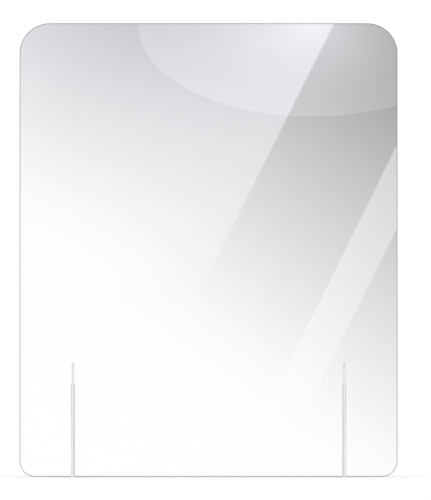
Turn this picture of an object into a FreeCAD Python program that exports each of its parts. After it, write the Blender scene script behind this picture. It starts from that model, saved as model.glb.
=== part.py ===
"""Free-standing counter sneeze guard: one clear acrylic screen that slots down over two clear acrylic feet.

All three pieces are cut from the same sheet. The screen has two slots open at its bottom edge, and each foot
has one slot open at its top edge, so that every joint is a cross-lap held by weight alone. The screen lies in
the XZ plane with its width along X, the feet lie in planes parallel to YZ, and +Z is up. The origin is on the
counter, under the middle of the guard. Units are millimetres.
"""
import FreeCAD, Part
import math
import os

V = FreeCAD.Vector

# ---------------------------------------------------------------- driving dimensions
SHEET = 3.0                  # thickness of the acrylic sheet that all pieces are cut from

SCREEN_WIDTH = 500.0
SCREEN_HEIGHT = 600.0
TOP_CORNER_RADIUS = 40.0
BOTTOM_CORNER_RADIUS = 20.0

SLOT_INSET = 70.5            # from each side edge of the screen to the middle of its slot
SCREEN_SLOT_DEPTH = 122.5    # from the screen's bottom edge up to the closed end of a slot
SLOT_CLEARANCE = 0.4         # how much wider a slot is than the sheet that enters it
SLOT_END_GAP = 1.0           # height left between the closed ends of two crossing slots
SLOT_END_FLAT = 0.4          # left between the two corner arcs of a closed end, which keep cracks from starting
SLOT_MOUTH_RADIUS = 1.0      # on the two corners of an open end, which lead the other piece in

FOOT_LENGTH = 220.0          # from front toe to rear toe
FOOT_SLOT_DEPTH = 28.5       # from the foot's top edge down to the closed end of its slot
FOOT_TOP_WIDTH = 64.0        # between the two shoulders at the top of a foot
TOE_HEIGHT = 28.0            # of the upright end of each toe, before its corners are rounded
TOE_BOTTOM_RADIUS = 5.0
TOE_TOP_RADIUS = 16.0
SHOULDER_RADIUS = 18.0

EASED_EDGE_RADIUS = 0.8      # on every arris of a cut sheet, scraped round so that it is safe to touch

# ---------------------------------------------------------------- sizes that follow from them
SLOT_WIDTH = SHEET + SLOT_CLEARANCE
SLOT_CORNER_RADIUS = (SLOT_WIDTH - SLOT_END_FLAT) / 2
SLOT_SPACING = SCREEN_WIDTH - 2 * SLOT_INSET
FOOT_SLOT_BOTTOM = SCREEN_SLOT_DEPTH - SLOT_END_GAP
FOOT_HEIGHT = FOOT_SLOT_BOTTOM + FOOT_SLOT_DEPTH


def unit(vector):
    """The same direction with a length of one."""
    return vector.multiply(1 / vector.Length)


def corner(before, at, after, radius):
    """Start, middle and end of the arc of that radius which is tangent to both sides of a corner."""
    to_before = unit(before - at)
    to_after = unit(after - at)
    half_angle = to_before.getAngle(to_after) / 2
    reach = radius / math.tan(half_angle)
    bisector = unit(to_before + to_after)
    centre = at + bisector * (radius / math.sin(half_angle))
    return at + to_before * reach, centre - bisector * radius, at + to_after * reach


def rounded_outline(corners):
    """A closed wire of straight sides and tangent arcs, from a list of (point, corner radius)."""
    points = [point for point, radius in corners]
    count = len(points)
    arcs = [
        corner(points[i - 1], points[i], points[(i + 1) % count], corners[i][1])
        for i in range(count)
    ]
    edges = []
    for i, (start, middle, end) in enumerate(arcs):
        edges.append(Part.Arc(start, middle, end).toShape())
        next_start = arcs[(i + 1) % count][0]
        edges.append(Part.LineSegment(end, next_start).toShape())
    return Part.Wire(edges)


def cut_sheet(outline, normal):
    """A plate of the sheet's thickness on both sides of the outline's plane, with its arrises eased."""
    blank = Part.Face(outline)
    blank.translate(normal * (-SHEET / 2))
    plate = blank.extrude(normal * SHEET)
    # the arrises lie in the two faces, and the middles of the edges that cross the sheet lie between them
    arrises = [edge for edge in plate.Edges if abs(edge.CenterOfMass.dot(normal)) > SHEET / 4]
    return plate.makeFillet(EASED_EDGE_RADIUS, arrises)


def slot_corners(point_at, middle, open_end, closed_end):
    """The four corners of a slot on a horizontal edge, walked in the direction of the first plane axis."""
    near = middle - SLOT_WIDTH / 2
    far = middle + SLOT_WIDTH / 2
    return [
        (point_at(near, open_end), SLOT_MOUTH_RADIUS),
        (point_at(near, closed_end), SLOT_CORNER_RADIUS),
        (point_at(far, closed_end), SLOT_CORNER_RADIUS),
        (point_at(far, open_end), SLOT_MOUTH_RADIUS),
    ]


def make_screen():
    """The upright screen: a rounded rectangle with two slots rising from its bottom edge."""
    def at(x, z):
        return V(x, 0, z)

    side = SCREEN_WIDTH / 2
    corners = [(at(-side, 0), BOTTOM_CORNER_RADIUS)]
    for middle in (-SLOT_SPACING / 2, SLOT_SPACING / 2):
        corners += slot_corners(at, middle, 0, SCREEN_SLOT_DEPTH)
    corners += [
        (at(side, 0), BOTTOM_CORNER_RADIUS),
        (at(side, SCREEN_HEIGHT), TOP_CORNER_RADIUS),
        (at(-side, SCREEN_HEIGHT), TOP_CORNER_RADIUS),
    ]
    return cut_sheet(rounded_outline(corners), V(0, 1, 0))


def make_foot(x):
    """A foot: a low trapezium with rounded toes and shoulders, slotted from the top, centred on x."""
    def at(y, z):
        return V(0, y, z)

    toe = FOOT_LENGTH / 2
    shoulder = FOOT_TOP_WIDTH / 2
    corners = [
        (at(toe, 0), TOE_BOTTOM_RADIUS),
        (at(-toe, 0), TOE_BOTTOM_RADIUS),
        (at(-toe, TOE_HEIGHT), TOE_TOP_RADIUS),
        (at(-shoulder, FOOT_HEIGHT), SHOULDER_RADIUS),
    ]
    corners += slot_corners(at, 0, FOOT_HEIGHT, FOOT_SLOT_BOTTOM)
    corners += [
        (at(shoulder, FOOT_HEIGHT), SHOULDER_RADIUS),
        (at(toe, TOE_HEIGHT), TOE_TOP_RADIUS),
    ]
    foot = cut_sheet(rounded_outline(corners), V(1, 0, 0))
    foot.translate(V(x, 0, 0))
    return foot


pieces = {
    "screen": make_screen(),
    "left_foot": make_foot(-SLOT_SPACING / 2),
    "right_foot": make_foot(SLOT_SPACING / 2),
}

os.makedirs("parts", exist_ok=True)
for name, shape in pieces.items():
    solid = shape.Solids[0]
    print(f"{name}: {len(shape.Solids)} solid, valid {solid.isValid()}, {solid.Volume / 1000:.1f} cm3")
    shape.exportStep(f"parts/{name}.step")
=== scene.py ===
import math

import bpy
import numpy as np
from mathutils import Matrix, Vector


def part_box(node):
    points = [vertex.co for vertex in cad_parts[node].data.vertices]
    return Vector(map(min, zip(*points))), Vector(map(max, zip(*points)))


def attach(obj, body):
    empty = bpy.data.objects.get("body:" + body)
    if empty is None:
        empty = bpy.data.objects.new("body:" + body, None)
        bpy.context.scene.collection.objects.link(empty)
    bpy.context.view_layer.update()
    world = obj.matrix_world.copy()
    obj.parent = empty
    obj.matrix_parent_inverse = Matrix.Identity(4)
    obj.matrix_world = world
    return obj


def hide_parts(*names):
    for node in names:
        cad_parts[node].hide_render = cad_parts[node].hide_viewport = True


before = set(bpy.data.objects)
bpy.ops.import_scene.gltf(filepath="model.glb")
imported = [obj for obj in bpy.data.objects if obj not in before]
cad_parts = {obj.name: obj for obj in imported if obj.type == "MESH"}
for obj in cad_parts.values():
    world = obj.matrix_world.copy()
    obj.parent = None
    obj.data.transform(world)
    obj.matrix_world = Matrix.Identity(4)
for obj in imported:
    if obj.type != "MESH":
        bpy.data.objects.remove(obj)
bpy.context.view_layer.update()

# Looks of a free-standing counter sneeze guard: a clear acrylic screen that slots down over two clear
# acrylic feet. Every piece is cut from one 3 mm sheet, so each is built here as its cut outline carried
# round the profile of a sheet's edge, with the two polished faces closed over it. Lengths are in metres, in
# the frame of the CAD model.

MM = 0.001

# ---------------------------------------------------------------- sizes, from the frame where it has them
screen_low, screen_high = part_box("screen")
foot_low, foot_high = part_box("right_foot")

SHEET = screen_high.y - screen_low.y
SCREEN_SIDE = screen_high.x
SCREEN_HEIGHT = screen_high.z
FOOT_TOE = foot_high.y
FOOT_HEIGHT = foot_high.z
FOOT_X = (foot_low.x + foot_high.x) / 2

TOP_CORNER_RADIUS = 40 * MM
BOTTOM_CORNER_RADIUS = 20 * MM

SCREEN_SLOT_DEPTH = 122.5 * MM
SLOT_END_GAP = 1.0 * MM      # height left between the closed ends of two crossing slots
FOOT_SLOT_BOTTOM = SCREEN_SLOT_DEPTH - SLOT_END_GAP

SLOT_CLEARANCE = 0.4 * MM    # how much wider a slot is than the sheet that enters it
SLOT_END_FLAT = 0.4 * MM     # left between the two corner arcs of a closed end
SLOT_WIDTH = SHEET + SLOT_CLEARANCE
SLOT_CORNER_RADIUS = (SLOT_WIDTH - SLOT_END_FLAT) / 2
SLOT_MOUTH_RADIUS = 1.0 * MM

FOOT_SHOULDER = 32 * MM      # from the middle of a foot to either end of its top
TOE_HEIGHT = 28 * MM
TOE_BOTTOM_RADIUS = 5 * MM
TOE_TOP_RADIUS = 16 * MM
SHOULDER_RADIUS = 18 * MM

EASED_EDGE_RADIUS = 0.8 * MM

ARC_STEPS = 24               # straight steps in each corner of an outline
EASE_STEPS = 6               # and in each eased arris

# the scraped finish has real score lines, and its dark grey is painted shade, for the thin dark line along
# the edge of a clear sheet
POLISHED, CUT, GLAZED, SCRAPED_WITH_PAINTED_SHADE = range(4)    # finishes of a plate's surface, in the order of its materials


# ---------------------------------------------------------------- shapes
def rounded_outline(corners):
    """Points of a closed outline and the outward normal at each, from (first, second, radius, ...) corners
    taken anticlockwise. Each corner becomes an arc tangent to its two sides. Its centre is on the bisector
    at radius / sin(half the corner's angle), and its radius vector turns evenly between the tangent points.
    Where the outline turns clockwise the arc is hollow, and the normal points at its centre."""
    corners = np.array(corners, float)
    at, radius = corners[:, :2], corners[:, 2:3]
    to_before = np.roll(at, 1, axis=0) - at
    to_after = np.roll(at, -1, axis=0) - at
    to_before /= np.linalg.norm(to_before, axis=1, keepdims=True)
    to_after /= np.linalg.norm(to_after, axis=1, keepdims=True)
    half = np.arccos((to_before * to_after).sum(axis=1, keepdims=True)) / 2
    bisector = to_before + to_after
    bisector /= np.linalg.norm(bisector, axis=1, keepdims=True)
    centre = at + bisector * radius / np.sin(half)
    first = (at + to_before * radius / np.tan(half) - centre) / radius
    last = (at + to_after * radius / np.tan(half) - centre) / radius
    sweep = (math.pi - 2 * half)[:, None, :]
    step = np.linspace(0, 1, ARC_STEPS + 1)[None, :, None]
    spoke = first[:, None, :] * np.sin((1 - step) * sweep) + last[:, None, :] * np.sin(step * sweep)
    spoke /= np.sin(sweep)
    cross = to_after[:, 0] * to_before[:, 1] - to_after[:, 1] * to_before[:, 0]
    outward = spoke * np.sign(cross)[:, None, None]
    points = centre[:, None, :] + spoke * radius[:, None, :]
    return points.reshape(-1, 2), outward.reshape(-1, 2)


def edge_profile():
    """Section of a sheet's edge, from one polished face round to the other: a quarter circle of the eased
    radius, the cut edge left straight between them, and the other quarter circle. Gives each point's inset
    from the outline, its offset from the sheet's middle, and the angle of its normal to the sheet."""
    quarter = np.linspace(math.pi / 2, 0, EASE_STEPS + 1)
    angle = np.concatenate([quarter, -quarter[::-1]])
    inset = EASED_EDGE_RADIUS * (1 - np.cos(angle))
    # the first quarter circle is centred on one side of the sheet's middle, and the second on the other
    side = np.sign(np.arange(len(angle)) - EASE_STEPS - 0.5)
    centre = side * (EASED_EDGE_RADIUS - SHEET / 2)
    return inset, centre + EASED_EDGE_RADIUS * np.sin(angle), angle


def cut_sheet(name, corners, origin, across, up, materials):
    """A plate cut from the sheet. Point (i, j) is outline point i moved in by the inset of profile point j
    and off the sheet's middle plane by its offset. Two flat faces close the first and last rings."""
    across, up = np.array(across, float), np.array(up, float)
    normal = np.cross(across, up)
    outline, outward = rounded_outline(corners)
    inset, offset, angle = edge_profile()
    rings, count = len(angle), len(outline)
    plane = outline[:, None, :] - outward[:, None, :] * inset[None, :, None]
    points = origin + plane[..., :1] * across + plane[..., 1:] * up + offset[None, :, None] * normal
    in_plane = outward[:, :1] * across + outward[:, 1:] * up
    normals = in_plane[:, None, :] * np.cos(angle)[None, :, None] + normal * np.sin(angle)[None, :, None]

    index = np.arange(count * rings).reshape(count, rings)
    after = np.roll(index, -1, axis=0)
    quads = np.stack([index[:, 1:], after[:, 1:], after[:, :-1], index[:, :-1]], axis=-1).reshape(-1, 4)
    faces = quads.tolist() + [index[:, 0].tolist(), index[::-1, -1].tolist()]
    mesh = bpy.data.meshes.new(name)
    mesh.from_pydata(points.reshape(-1, 3).tolist(), [], faces)

    # the run along the outline and round the edge's profile, in metres, for patterns that follow the cut
    run = np.linalg.norm(np.roll(outline, -1, axis=0) - outline, axis=1)
    run_start, run_end = np.cumsum(run) - run, np.cumsum(run)
    round_edge = np.concatenate([[0], np.cumsum(np.hypot(np.diff(inset), np.diff(offset)))])
    along = np.stack([run_start, run_end, run_end, run_start], axis=-1)[:, None, :]
    over = np.stack([round_edge[1:], round_edge[1:], round_edge[:-1], round_edge[:-1]], axis=-1)[None]
    edge_map = np.stack(np.broadcast_arrays(along, over), axis=-1).reshape(-1, 2)
    face_map = np.concatenate([plane[:, 0], plane[::-1, -1]])
    mesh.uv_layers.new(name="along_the_cut").data.foreach_set(
        "uv", np.concatenate([edge_map, face_map]).astype(np.float32).ravel())

    # a corner's finish is that of the arrises round its arc and along the straight side after it
    finish = np.repeat([corner[3] for corner in corners], ARC_STEPS + 1)[:, None]
    on_arris = np.arange(rings - 1)[None, :] != EASE_STEPS
    material_index = np.concatenate([np.where(on_arris, finish, CUT).ravel(), [POLISHED, POLISHED]])
    mesh.polygons.foreach_set("material_index", material_index.astype(np.int32))
    mesh.polygons.foreach_set("use_smooth", np.ones(len(faces), bool))
    mesh.normals_split_custom_set_from_vertices(normals.reshape(-1, 3).tolist())
    for material in materials:
        mesh.materials.append(material)
    piece = bpy.data.objects.new(name, mesh)
    bpy.context.scene.collection.objects.link(piece)
    return piece


def slot_corners(middle, open_end, closed_end, direction, finish):
    """The four corners of a slot on a horizontal edge that the outline walks along in that direction. A
    scraper doesn't reach inside a slot, so its arrises stay glazed, without the painted shade of the
    scraped arris. The edge after it has that finish."""
    near = middle - direction * SLOT_WIDTH / 2
    far = middle + direction * SLOT_WIDTH / 2
    return [
        (near, open_end, SLOT_MOUTH_RADIUS, GLAZED),
        (near, closed_end, SLOT_CORNER_RADIUS, GLAZED),
        (far, closed_end, SLOT_CORNER_RADIUS, GLAZED),
        (far, open_end, SLOT_MOUTH_RADIUS, finish),
    ]


def screen_corners():
    """A rounded rectangle with a slot over each foot, open at the bottom edge."""
    return [
        # the screen's outline arrises carry the painted shade of the scraped finish, a dark grey line
        (-SCREEN_SIDE, 0, BOTTOM_CORNER_RADIUS, SCRAPED_WITH_PAINTED_SHADE),
        *slot_corners(-FOOT_X, 0, SCREEN_SLOT_DEPTH, 1, SCRAPED_WITH_PAINTED_SHADE),
        *slot_corners(FOOT_X, 0, SCREEN_SLOT_DEPTH, 1, SCRAPED_WITH_PAINTED_SHADE),
        (SCREEN_SIDE, 0, BOTTOM_CORNER_RADIUS, SCRAPED_WITH_PAINTED_SHADE),
        (SCREEN_SIDE, SCREEN_HEIGHT, TOP_CORNER_RADIUS, SCRAPED_WITH_PAINTED_SHADE),
        (-SCREEN_SIDE, SCREEN_HEIGHT, TOP_CORNER_RADIUS, SCRAPED_WITH_PAINTED_SHADE),
    ]


def foot_corners():
    """A low trapezium with rounded toes and shoulders, slotted from the top."""
    return [
        (-FOOT_TOE, 0, TOE_BOTTOM_RADIUS, GLAZED),
        (FOOT_TOE, 0, TOE_BOTTOM_RADIUS, GLAZED),
        (FOOT_TOE, TOE_HEIGHT, TOE_TOP_RADIUS, GLAZED),
        (FOOT_SHOULDER, FOOT_HEIGHT, SHOULDER_RADIUS, GLAZED),
        *slot_corners(0, FOOT_HEIGHT, FOOT_SLOT_BOTTOM, -1, GLAZED),
        (-FOOT_SHOULDER, FOOT_HEIGHT, SHOULDER_RADIUS, GLAZED),
        (-FOOT_TOE, TOE_HEIGHT, TOE_TOP_RADIUS, GLAZED),
    ]


# ---------------------------------------------------------------- materials
ACRYLIC_IOR = 1.49


def linear(colour):
    """An sRGB hex colour such as "c8cdd2" as linear RGBA."""
    channels = [int(colour[i:i + 2], 16) / 255 for i in (0, 2, 4)]
    return [c / 12.92 if c <= 0.04045 else ((c + 0.055) / 1.055) ** 2.4 for c in channels] + [1.0]


def add_node(tree, kind, settings=None, inputs=None, links=None):
    """A node with its properties, the values of its inputs, and what is linked to them."""
    node = tree.nodes.new(kind)
    for key, value in (settings or {}).items():
        setattr(node, key, value)
    for key, value in (inputs or {}).items():
        node.inputs[key].default_value = value
    for key, socket in (links or {}).items():
        tree.links.new(socket, node.inputs[key])
    return node


def new_material(name):
    """A material with nothing in its node tree, and that tree."""
    material = bpy.data.materials.new(name)
    material.use_nodes = True
    material.node_tree.nodes.clear()
    return material, material.node_tree


def stretched_noise(tree, coordinates, spacing, detail):
    """Noise with features of that size in metres along each axis, on those coordinates."""
    scale = add_node(tree, "ShaderNodeMapping", inputs={"Scale": [1 / size for size in spacing]},
                     links={"Vector": coordinates})
    return add_node(tree, "ShaderNodeTexNoise", inputs={"Scale": 1.0, "Detail": detail},
                    links={"Vector": scale.outputs[0]})


def polished_acrylic():
    """Clear extruded acrylic sheet as it comes from under its film: glass-clear and glossy. The extruder's
    draw is left in it as a waviness that only bends a reflection slightly."""
    material, tree = new_material("clear_extruded_acrylic_face")
    place = add_node(tree, "ShaderNodeTexCoord")
    # draw lines about 45 mm apart, and drawn out along the sheet's height
    wave = stretched_noise(tree, place.outputs["Object"], (45 * MM, 45 * MM, 200 * MM), detail=1.0)
    bend = add_node(tree, "ShaderNodeBump", inputs={"Strength": 0.02, "Distance": 0.1 * MM},
                    links={"Height": wave.outputs[0]})
    acrylic = add_node(tree, "ShaderNodeBsdfPrincipled",
                       inputs={"Base Color": linear("f0f0f1"), "Roughness": 0.0, "IOR": ACRYLIC_IOR,
                               "Transmission Weight": 1.0},
                       links={"Normal": bend.outputs[0]})
    add_node(tree, "ShaderNodeOutputMaterial", links={"Surface": acrylic.outputs[0]})
    return material


def edge_finish(name, colours, roughness, clear, spacing, depth):
    """A worked edge of the sheet. One noise, spaced along the cut and round the edge, varies its colour
    between two greys and its roughness between two values, and gives it marks of that depth."""
    material, tree = new_material(name)
    cut = add_node(tree, "ShaderNodeUVMap", settings={"uv_map": "along_the_cut"})
    marks = stretched_noise(tree, cut.outputs[0], (*spacing, 1), detail=2.0)
    colour = add_node(tree, "ShaderNodeMix", settings={"data_type": "RGBA"},
                      inputs={6: linear(colours[0]), 7: linear(colours[1])}, links={0: marks.outputs[0]})
    gloss = add_node(tree, "ShaderNodeMapRange", inputs={"To Min": roughness[0], "To Max": roughness[1]},
                     links={"Value": marks.outputs[0]})
    bend = add_node(tree, "ShaderNodeBump", inputs={"Strength": 0.3, "Distance": depth},
                    links={"Height": marks.outputs[0]})
    edge = add_node(tree, "ShaderNodeBsdfPrincipled",
                    inputs={"IOR": ACRYLIC_IOR, "Transmission Weight": clear},
                    links={"Base Color": colour.outputs[2], "Roughness": gloss.outputs[0],
                           "Normal": bend.outputs[0]})
    add_node(tree, "ShaderNodeOutputMaterial", links={"Surface": edge.outputs[0]})
    return material


def laser_cut_edge():
    """The middle of the edge, as the laser leaves it: frosted by fine ripples across the sheet, so that it
    glows white. Real ripples are 0.2 mm apart; they are drawn 1.2 mm apart so that they show."""
    return edge_finish("laser_cut_acrylic_edge", colours=("f6f7f8", "fdfdfe"), roughness=(0.3, 0.5),
                       clear=0.15, spacing=(1.2 * MM, 12 * MM), depth=0.05 * MM)


def glazed_arris():
    """An arris glazed by the laser's heat, on the feet and in the slots: smooth, and nearly white."""
    return edge_finish("laser_glazed_acrylic_arris", colours=("e4e6e8", "eceef0"), roughness=(0.1, 0.25),
                       clear=0.2, spacing=(6 * MM, 2 * MM), depth=0.02 * MM)


def scraped_arris_painted_shade():
    """An arris drawn round with a scraper, all round the screen: satin, with fine score lines along it.
    They are drawn 0.4 mm apart, to show. Its dark grey is painted shade: it stands for the thin dark line
    along the edge of a clear sheet."""
    return edge_finish("scraped_acrylic_arris_painted_shade", colours=("696c70", "75787c"), roughness=(0.35, 0.5),
                       clear=0.15, spacing=(60 * MM, 0.4 * MM), depth=0.05 * MM)


# ---------------------------------------------------------------- the pieces
acrylic = [polished_acrylic(), laser_cut_edge(), glazed_arris(), scraped_arris_painted_shade()]
CUTS = [
    ("screen", screen_corners(), (0, 0, 0), (1, 0, 0)),
    ("left_foot", foot_corners(), (-FOOT_X, 0, 0), (0, 1, 0)),
    ("right_foot", foot_corners(), (FOOT_X, 0, 0), (0, 1, 0)),
]
for node, corners, origin, across in CUTS:
    piece = cut_sheet(node + "_sheet", corners, origin, across, (0, 0, 1), acrylic)
    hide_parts(node)
    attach(piece, node)

# ---------------------------------------------------------------- the camera
CAMERA_OFF_CENTRE = 9.15 * MM
CAMERA_DISTANCE = 26.0       # far off, so that the view has hardly any perspective
SENSOR = 36.0                # the longer side of the view on the sensor, in millimetres
VIEW_HEIGHT = 0.6619         # how much the view takes in at the guard

lens = bpy.data.cameras.new("camera")
lens.sensor_width = SENSOR
lens.lens = SENSOR * CAMERA_DISTANCE / VIEW_HEIGHT
lens.clip_end = 2 * CAMERA_DISTANCE
camera = bpy.data.objects.new("camera", lens)
camera.location = (CAMERA_OFF_CENTRE, -CAMERA_DISTANCE, SCREEN_HEIGHT / 2)
camera.rotation_euler = (math.pi / 2, 0, 0)
bpy.context.scene.collection.objects.link(camera)
bpy.context.scene.camera = camera
bpy.context.scene.view_settings.view_transform = "Standard"


# ---------------------------------------------------------------- the studio
def even_grid(first, second, steps):
    """The two coordinates of a grid that runs over the first and the second range in even steps."""
    return np.meshgrid(np.linspace(*first, steps[0] + 1), np.linspace(*second, steps[1] + 1))


def ramp(value, none_at, full_at):
    """Rises evenly from 0 at none_at to 1 at full_at, and is level beyond both."""
    return np.clip((value - none_at) / (full_at - none_at), 0, 1)


def line_at(line, z):
    """x at height z on the straight line through two (x, z) points."""
    (x_low, z_low), (x_high, z_high) = line
    return x_low + (x_high - x_low) * (z - z_low) / (z_high - z_low)


def grid_mesh(name, points, attributes):
    """A sheet of quads through a rows x columns grid of points. Each attribute is an RGB colour at every
    point, or a number for all three channels."""
    rows, columns = points.shape[:2]
    index = np.arange(rows * columns).reshape(rows, columns)
    quads = np.stack([index[:-1, :-1], index[:-1, 1:], index[1:, 1:], index[1:, :-1]], axis=-1)
    mesh = bpy.data.meshes.new(name)
    mesh.from_pydata(points.reshape(-1, 3).tolist(), [], quads.reshape(-1, 4).tolist())
    for key, value in attributes.items():
        colour = np.ones((rows, columns, 4), np.float32)
        colour[..., :3] = value
        mesh.color_attributes.new(key, "FLOAT_COLOR", "POINT").data.foreach_set("color", colour.ravel())
    return mesh


def set_up(name, mesh, material):
    """Puts a mesh on the stage, as no part of the guard."""
    mesh.materials.append(material)
    thing = bpy.data.objects.new(name, mesh)
    bpy.context.scene.collection.objects.link(thing)
    return thing


# What a clear screen shows is what stands behind it: a white room, then a backdrop card that darkens
# towards the upper right, which is painted shade, and three soft light cards in front of that, which are
# painted highlights and light nothing. They are seen only through the acrylic, and are laid out by where
# they show on the screen: x from its middle and z from its bottom edge, in metres.
SHADE_CARD_BEHIND = 2.0
LIGHTS_APART = 0.01
PASSES = 0.805               # share of light that a plate lets through, looked at squarely
MIRRORS = 0.075              # share that its two faces mirror
# the lights here are glowing cards of painted highlight, seen only through the acrylic
COOL_WHITE = np.array([1.0, 1.0, 1.03])      # colour of the lights


def tinted_glow():
    """A clear card that keeps a share of what is behind it and adds a glow of its own."""
    material, tree = new_material("tinted_glow")
    kept = add_node(tree, "ShaderNodeVertexColor", settings={"layer_name": "kept"})
    glow = add_node(tree, "ShaderNodeVertexColor", settings={"layer_name": "glow"})
    clear = add_node(tree, "ShaderNodeBsdfTransparent", links={"Color": kept.outputs["Color"]})
    light = add_node(tree, "ShaderNodeEmission", links={"Color": glow.outputs["Color"]})
    both = add_node(tree, "ShaderNodeAddShader", links={0: clear.outputs[0], 1: light.outputs[0]})
    add_node(tree, "ShaderNodeOutputMaterial", links={"Surface": both.outputs[0]})
    material.cycles.emission_sampling = "NONE"
    return material


card_material = tinted_glow()


def card(name, x, z, y, kept, shown):
    """A card at that y that shows at x and z on the screen: its points spread from the camera's axis in the
    ratio of the distances from the camera. It adds what is shown, over the share that a plate passes. It is
    seen only through the acrylic, and paints shade and highlights into the screen."""
    spread = (CAMERA_DISTANCE + y) / CAMERA_DISTANCE
    middle = SCREEN_HEIGHT / 2
    points = np.stack([CAMERA_OFF_CENTRE + (x - CAMERA_OFF_CENTRE) * spread, np.full_like(x, y),
                       middle + (z - middle) * spread], axis=-1)
    thing = set_up(name, grid_mesh(name, points, {"kept": kept, "glow": shown / PASSES}), card_material)
    thing.visible_camera = thing.visible_diffuse = thing.visible_glossy = thing.visible_shadow = False


def painted_highlight_card(name, x, z, gaps, level):
    """A glowing card of cool painted highlight at that level, so many gaps in front of the backdrop card of
    painted shade. It lights nothing.
    """
    card(name, x, z, SHADE_CARD_BEHIND - gaps * LIGHTS_APART, 1.0, level[..., None] * COOL_WHITE)


def painted_shade_backdrop():
    """A card of painted shade, seen only through the acrylic. The light that it takes away rises evenly
    from a slanted line towards the upper right: it is half the sum of the rise and of the hypotenuse of
    rise and softness, which rounds off the start. It takes less of the blue, and least on the left, and
    gives back what a plate takes from the white behind it."""
    x, z = even_grid((-0.7, 0.7), (-0.3, 1.0), steps=(56, 52))
    across, up, starts_at = 0.872, 1.185, 0.180      # light taken per metre, and the height where it starts
    softness = 0.057
    blue_share, more_per_metre = 0.95, 0.18          # blue taken per red in the middle, and more rightwards
    rise = across * x + up * (z - starts_at)
    taken = np.minimum((rise + np.hypot(rise, softness)) / 2, PASSES)
    taken_blue = taken * (blue_share + more_per_metre * x)
    kept = 1 - np.stack([taken, taken, taken_blue], axis=-1) / PASSES
    given_back = 1 - PASSES - MIRRORS
    card("painted_shade_card", x, z, SHADE_CARD_BEHIND, kept, given_back)


def painted_round_highlight():
    """A round painted highlight with a hot middle, seen from below as an ellipse. Its level rises from its
    rim to its middle as a power of the way in."""
    middle, radii = (0.137, 0.597), (0.230, 0.1205)
    at_rim, at_middle, power = 0.070, 0.35, 1.75
    reach, turn = even_grid((0, 1), (0, 2 * math.pi), steps=(12, 96))
    x = middle[0] + radii[0] * reach * np.cos(turn)
    z = middle[1] + radii[1] * reach * np.sin(turn)
    level = at_rim + (at_middle - at_rim) * (1 - reach) ** power
    painted_highlight_card("painted_round_highlight", x, z, gaps=1, level=level)


def painted_window_highlight():
    """A wide painted highlight, sharp on its slanted right side. It fades to the left as a power of the
    width that is left, and evenly downwards."""
    side = (-0.0152, 0.2377), (0.1658, 0.5991)
    bottom, full, top = 0.24, 0.49, 1.0
    width, brightest, power = 0.318, 0.192, 1.38
    inward, z = even_grid((0, 1), (bottom, top), steps=(16, 32))
    x = line_at(side, z) - inward * width
    level = brightest * ramp(z, bottom, full) * (1 - inward) ** power
    painted_highlight_card("painted_window_highlight", x, z, gaps=2, level=level)


def painted_strip_highlight():
    """A strip of painted highlight between two slanted sides, fading evenly downwards."""
    left, right = ((0.1357, 0.2086), (0.2491, 0.4389)), ((0.1602, 0.1490), (0.2477, 0.3251))
    bottom, full, top = 0.088, 0.426, 1.0
    brightest = 0.182
    over, z = even_grid((0, 1), (bottom, top), steps=(1, 32))
    x = line_at(left, z) * (1 - over) + line_at(right, z) * over
    painted_highlight_card("painted_strip_highlight", x, z, gaps=3, level=brightest * ramp(z, bottom, full))


def corner_light(side):
    """A tall soft light beside the guard, in front of it on the left (side -1) or behind it on the right
    (side 1), which only the acrylic mirrors when it is seen from a corner. It is bright at a slanted side,
    and fades evenly outwards and over its lower half."""
    beside, near, lean, width, height = 0.6, 0.45, 0.5, 0.35, 0.7
    full, brightest = height / 2, 1.6
    inward, z = even_grid((0, 1), (0, height), steps=(16, 16))
    y = near + lean * z - inward * width
    points = np.stack([np.full_like(y, side * beside), side * y, z], axis=-1)
    glow = brightest * (ramp(z, 0, full) * (1 - inward))[..., None]
    mesh = grid_mesh("corner_light", points, {"kept": 1.0, "glow": glow})
    light = set_up("corner_light", mesh, card_material)
    light.visible_camera = light.visible_diffuse = light.visible_transmission = light.visible_shadow = False


def pale_floor():
    """A pale matt floor under the guard: a disc that fades evenly into the white of the room."""
    solid_to, gone_at = 1.6, 2.8
    reach, turn = even_grid((0, gone_at), (0, 2 * math.pi), steps=(28, 64))
    points = np.stack([reach * np.cos(turn), reach * np.sin(turn), np.zeros_like(reach)], axis=-1)
    solid = ramp(reach, gone_at, solid_to)[..., None]
    material, tree = new_material("pale_matt_floor")
    fade = add_node(tree, "ShaderNodeVertexColor", settings={"layer_name": "solid"})
    matt = add_node(tree, "ShaderNodeBsdfPrincipled",
                    inputs={"Base Color": linear("dadada"), "Roughness": 0.9, "Specular IOR Level": 0.0,
                            "Emission Color": linear("ffffff"), "Emission Strength": 0.34})
    clear = add_node(tree, "ShaderNodeBsdfTransparent")
    mixed = add_node(tree, "ShaderNodeMixShader", links={0: fade.outputs["Color"], 1: clear.outputs[0],
                                                         2: matt.outputs[0]})
    add_node(tree, "ShaderNodeOutputMaterial", links={"Surface": mixed.outputs[0]})
    material.cycles.emission_sampling = "NONE"
    floor = set_up("floor", grid_mesh("floor", points, {"solid": solid}), material)
    floor.visible_transmission = False       # or a band of it would show through the foot of the screen


painted_shade_backdrop()
painted_round_highlight()
painted_window_highlight()
painted_strip_highlight()
corner_light(-1)
corner_light(1)
pale_floor()

world = bpy.data.worlds.new("white_studio")
world.use_nodes = True
world.node_tree.nodes["Background"].inputs["Color"].default_value = linear("ffffff")
bpy.context.scene.world = world

# light runs on between the faces of a clear sheet for a long way before it leaves
cycles = bpy.context.scene.cycles
cycles.max_bounces = cycles.glossy_bounces = cycles.transmission_bounces = 128
cycles.diffuse_bounces = 16
